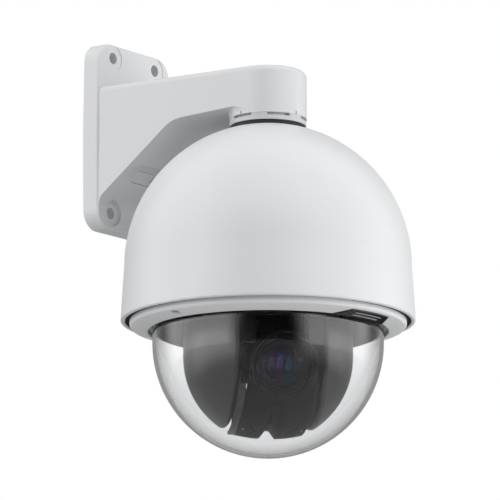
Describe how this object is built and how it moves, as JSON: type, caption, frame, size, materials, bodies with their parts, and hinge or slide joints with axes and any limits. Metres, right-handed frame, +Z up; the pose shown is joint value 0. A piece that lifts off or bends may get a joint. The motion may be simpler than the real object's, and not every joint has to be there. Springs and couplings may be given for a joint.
{
  "type": "ptz camera",
  "caption": "Outdoor speed-dome camera on a wall arm: round housing, clear lower bubble and a panning, tilting zoom camera head inside.",
  "frame": {"origin": "middle of the four wall bolts, on the wall face of the plate", "axes": "+Z up, +Y into the wall, arm and dome towards -Y, X across the plate"},
  "size_m": [0.2178, 0.2499, 0.3253],
  "materials": {
    "arm_paint": "satin off-white powder coat on a cast aluminium arm, fine orange peel",
    "housing_paint": "smooth satin off-white paint",
    "ring_paint": "satin light grey paint",
    "collar_paint": "satin light grey paint",
    "badge": "gloss black name plate, blank",
    "clear_dome": "clear moulded polycarbonate, high gloss",
    "optical_glass": "coated optical glass, purple and blue reflections",
    "black_cover": "satin-gloss black moulded plastic",
    "black_matt": "matt black moulded plastic",
    "black_metal": "black anodised aluminium",
    "liner_black": "matt black sleeve",
    "gasket": "black silicone",
    "zinc_steel": "zinc plated, dull",
    "stainless": "stainless, machined",
    "chassis_metal": "black e-coated steel plate",
    "machined_alloy": "machined aluminium",
    "brass": "machined brass",
    "gear_nylon": "natural acetal",
    "board_green": "solder-masked circuit board",
    "terminal_green": "green terminal block",
    "motor_can": "drawn steel motor can",
    "fan_black": "glass-filled nylon"
  },
  "bodies": {
    "fixed": {"wall_arm": "arm_paint", "access_cover": "arm_paint", "access_screw": "stainless", "neck_tube": "zinc_steel", "neck_locknuts": "zinc_steel", "collar_ring": "collar_paint", "neck_seal": "gasket", "upper_housing": "housing_paint", "trim_ring": "ring_paint", "trim_screws": "stainless", "badge_plate": "badge", "bubble": "clear_dome", "bubble_gasket": "gasket", "bubble_clamp": "machined_alloy", "rim_gasket": "gasket", "drive_chassis": "chassis_metal", "chassis_screws": "stainless", "inner_liner": "liner_black", "board_standoffs": "brass", "interface_board": "board_green", "terminal_blocks": "terminal_green", "slip_ring_stator": "black_matt", "pan_motor": "motor_can", "pan_bearing_outer": "stainless", "pan_bearing_balls": "stainless", "fan_frame": "fan_black", "heater": "machined_alloy"},
    "fan_rotor": {"fan_rotor": "fan_black"},
    "pan_pinion": {"pan_pinion": "stainless"},
    "pan_unit": {"pan_turntable": "black_metal", "pan_gear": "gear_nylon", "pan_bearing_inner": "stainless", "slip_ring_rotor": "brass", "cover_screws": "stainless", "yoke_frame": "black_metal", "tilt_bearings": "stainless", "left_cover": "black_cover", "right_cover": "black_cover", "front_bezel": "black_cover", "rear_cover": "black_cover", "tilt_motor": "motor_can", "control_board": "board_green"},
    "tilt_pinion": {"tilt_pinion": "stainless"},
    "tilt_head": {"head_front_cover": "black_matt", "head_lower_cover": "black_matt", "head_frame": "black_metal", "head_screws": "stainless", "lens_hood": "black_metal", "lens_retainer": "black_metal", "front_lens": "optical_glass", "lens_barrel": "black_metal", "guide_rods": "stainless", "iris_ring": "black_matt", "camera_block": "black_metal", "sensor_board": "board_green", "tilt_gear": "gear_nylon"},
    "zoom_group": {"zoom_cell": "black_matt", "zoom_lens": "optical_glass"},
    "focus_group": {"focus_cell": "black_matt", "focus_lens": "optical_glass"}
  },
  "joints": [
    {"name": "pan", "type": "hinge", "parent": "fixed", "child": "pan_unit", "pos_m": [0, -0.141, -0.154], "axis": [0, 0, 1], "continuous": true},
    {"name": "tilt", "type": "hinge", "parent": "pan_unit", "child": "tilt_head", "pos_m": [0, -0.141, -0.1781], "axis": [0.7431, -0.6691, 0], "range_deg": [-16, 74]},
    {"name": "pan_pinion_spin", "type": "hinge", "parent": "fixed", "child": "pan_pinion", "pos_m": [0.056, -0.141, -0.154], "axis": [0, 0, 1], "continuous": true},
    {"name": "tilt_pinion_spin", "type": "hinge", "parent": "pan_unit", "child": "tilt_pinion", "pos_m": [0, -0.141, -0.1517], "axis": [0.7431, -0.6691, 0], "range_deg": [-235, 54]},
    {"name": "fan_spin", "type": "hinge", "parent": "fixed", "child": "fan_rotor", "pos_m": [-0.052, -0.141, -0.12], "axis": [0, 0, 1], "continuous": true},
    {"name": "zoom", "type": "slide", "parent": "tilt_head", "child": "zoom_group", "axis": [-0.6432, -0.7144, -0.2756], "range_m": [-0.007, 0.01]},
    {"name": "focus", "type": "slide", "parent": "tilt_head", "child": "focus_group", "axis": [-0.6432, -0.7144, -0.2756], "range_m": [-0.004, 0.004]}
  ],
  "couplings": [
    {"joint": "pan_pinion_spin", "follows": "pan", "ratio": -6},
    {"joint": "tilt_pinion_spin", "follows": "tilt", "ratio": -3.125}
  ]
}
